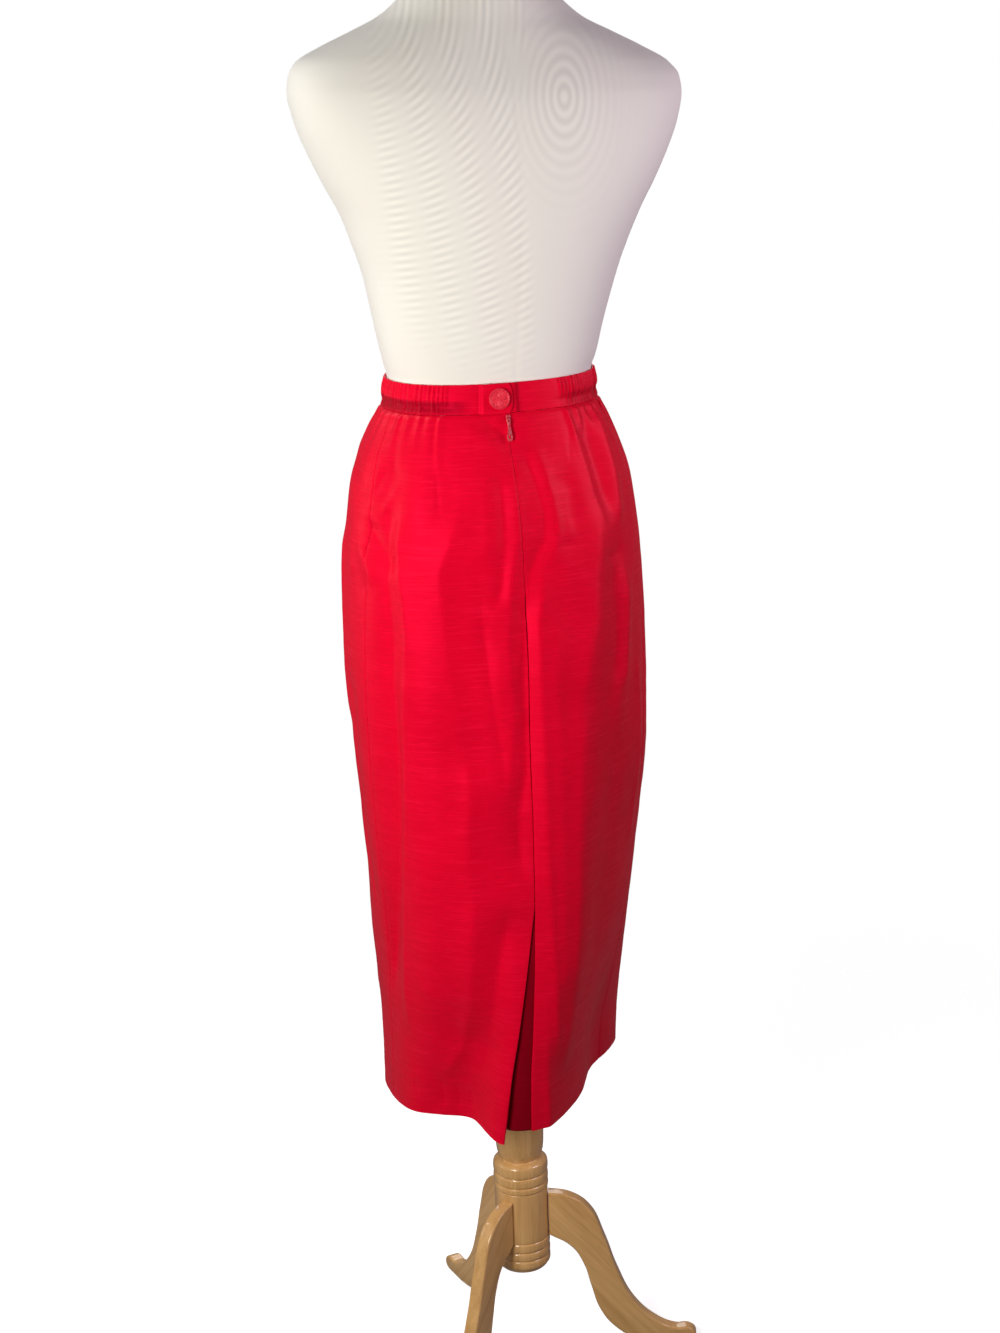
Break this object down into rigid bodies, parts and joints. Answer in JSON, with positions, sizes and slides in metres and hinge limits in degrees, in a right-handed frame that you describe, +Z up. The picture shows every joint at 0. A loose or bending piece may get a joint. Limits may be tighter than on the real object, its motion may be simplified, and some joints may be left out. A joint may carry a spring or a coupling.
{
  "type": "pencil skirt on a dress form",
  "caption": "Long red pencil skirt with an elasticated waistband, back zip, button and hem vent, worn by a limbless dress form on a turned wooden tripod stand.",
  "frame": {"origin": "on the floor, under the middle of the whole", "axes": "+Z up; the skirt's back, with its zip, button and vent, faces -Y; +X is to the right of someone who looks at that back"},
  "size_m": [0.433, 0.3932, 1.7076],
  "materials": {
    "red_cloth": "crisp slubbed silk-linen with a soft sheen",
    "button": "gloss",
    "zip": "satin",
    "jersey": "matt stretched jersey",
    "wood": "clear satin lacquer"
  },
  "bodies": {
    "worn_skirt": {"waistband_front": "red_cloth", "waistband_back_left": "red_cloth", "waistband_back_right": "red_cloth", "skirt_front": "red_cloth", "skirt_back_left": "red_cloth", "skirt_back_right": "red_cloth", "skirt_vent_underlap": "red_cloth", "waistband_button": "button", "zip_tape": "red_cloth", "zip_slider": "zip", "form_torso": "jersey", "stand_post": "wood", "stand_leg_1": "wood", "stand_leg_2": "wood", "stand_leg_3": "wood"},
    "pull_tab": {"zip_pull_tab": "zip"}
  },
  "joints": [
    {"name": "pull_tab_hinge", "type": "hinge", "parent": "worn_skirt", "child": "pull_tab", "pos_m": [-0.01443, -0.10976, 1.18038], "axis": [-0.9997, 0.0212, 0.0145], "range_deg": [0, 150]}
  ]
}
